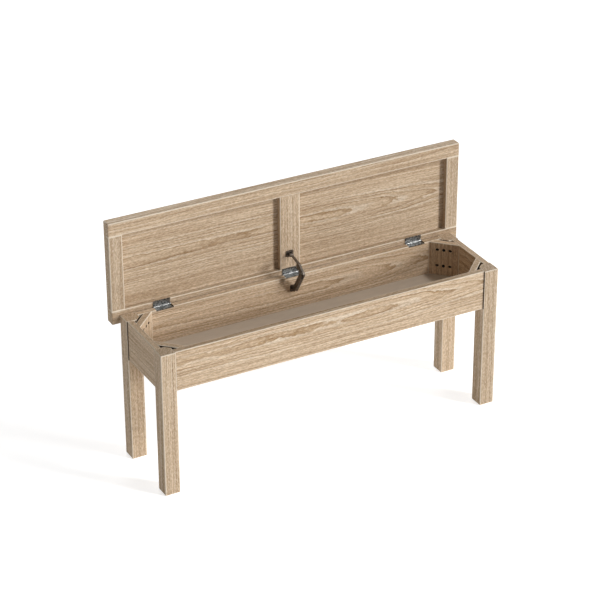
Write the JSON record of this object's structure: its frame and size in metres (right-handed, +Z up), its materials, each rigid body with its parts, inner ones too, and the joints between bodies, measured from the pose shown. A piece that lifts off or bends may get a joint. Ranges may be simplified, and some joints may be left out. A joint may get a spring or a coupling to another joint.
{
  "type": "storage bench",
  "caption": "Narrow oak storage bench: square legs, a shallow well with diagonal corner blocks, and a flat seat hinged at the back with an elbowed lid stay.",
  "frame": {"origin": "on the floor, in the middle of the box that the bench fills with its seat open", "axes": "+X along the bench to the right, +Y to the back where the hinges are, +Z up"},
  "size_m": [1.1, 0.293, 0.718],
  "materials": {
    "oak": "limed oak with a matt lacquer",
    "panel_board": "plain thin board, matt grey-brown",
    "zinc": "bright zinc plate",
    "bronze": "dark bronze lacquer",
    "black_steel": "black oxide",
    "insert_alloy": "yellow passivated"
  },
  "bodies": {
    "bench": {"leg_front_left": "oak", "leg_front_right": "oak", "leg_back_left": "oak", "leg_back_right": "oak", "rail_front": "oak", "rail_back": "oak", "rail_left": "oak", "rail_right": "oak", "corner_block_front_left": "oak", "corner_block_front_right": "oak", "corner_block_back_left": "oak", "corner_block_back_right": "oak", "leg_bolt_front_left_upper": "black_steel", "leg_bolt_front_left_lower": "black_steel", "leg_bolt_front_right_upper": "black_steel", "leg_bolt_front_right_lower": "black_steel", "leg_bolt_back_left_upper": "black_steel", "leg_bolt_back_left_lower": "black_steel", "leg_bolt_back_right_upper": "black_steel", "leg_bolt_back_right_lower": "black_steel", "leg_insert_front_left_upper": "insert_alloy", "leg_insert_front_left_lower": "insert_alloy", "leg_insert_front_right_upper": "insert_alloy", "leg_insert_front_right_lower": "insert_alloy", "leg_insert_back_left_upper": "insert_alloy", "leg_insert_back_left_lower": "insert_alloy", "leg_insert_back_right_upper": "insert_alloy", "leg_insert_back_right_lower": "insert_alloy", "base_panel": "panel_board", "cleat_front": "oak", "cleat_back": "oak", "cleat_left": "oak", "cleat_right": "oak", "hinge_left_body_leaf": "zinc", "hinge_centre_body_leaf": "zinc", "hinge_right_body_leaf": "zinc", "hinge_left_pin": "zinc", "hinge_centre_pin": "zinc", "hinge_right_pin": "zinc", "stay_rail_bracket": "bronze", "stay_rail_pin": "bronze"},
    "seat": {"seat_board": "oak", "lid_rail_front": "oak", "lid_rail_back": "oak", "lid_stile_left": "oak", "lid_stile_right": "oak", "lid_muntin": "oak", "hinge_left_lid_leaf": "zinc", "hinge_centre_lid_leaf": "zinc", "hinge_right_lid_leaf": "zinc", "stay_lid_bracket": "bronze", "stay_lid_pin": "bronze"},
    "stay_upper": {"stay_upper_arm": "bronze"},
    "stay_lower": {"stay_lower_arm": "bronze", "stay_elbow_pin": "bronze"}
  },
  "joints": [
    {"name": "seat_hinge", "type": "hinge", "parent": "bench", "child": "seat", "pos_m": [0, 0.1125, 0.4365], "axis": [1, 0, 0], "range_deg": [0, 90]},
    {"name": "stay_lid_pivot", "type": "hinge", "parent": "seat", "child": "stay_upper", "pos_m": [-0.002, 0.1045, 0.4985], "axis": [1, 0, 0], "range_deg": [-63, 0]},
    {"name": "stay_rail_pivot", "type": "hinge", "parent": "bench", "child": "stay_lower", "pos_m": [-0.002, 0.0825, 0.4], "axis": [1, 0, 0], "range_deg": [0, 77]}
  ],
  "couplings": [
    {"joint": "stay_lid_pivot", "follows": "seat_hinge", "ratio": -0.6946},
    {"joint": "stay_rail_pivot", "follows": "seat_hinge", "ratio": 0.8502}
  ]
}
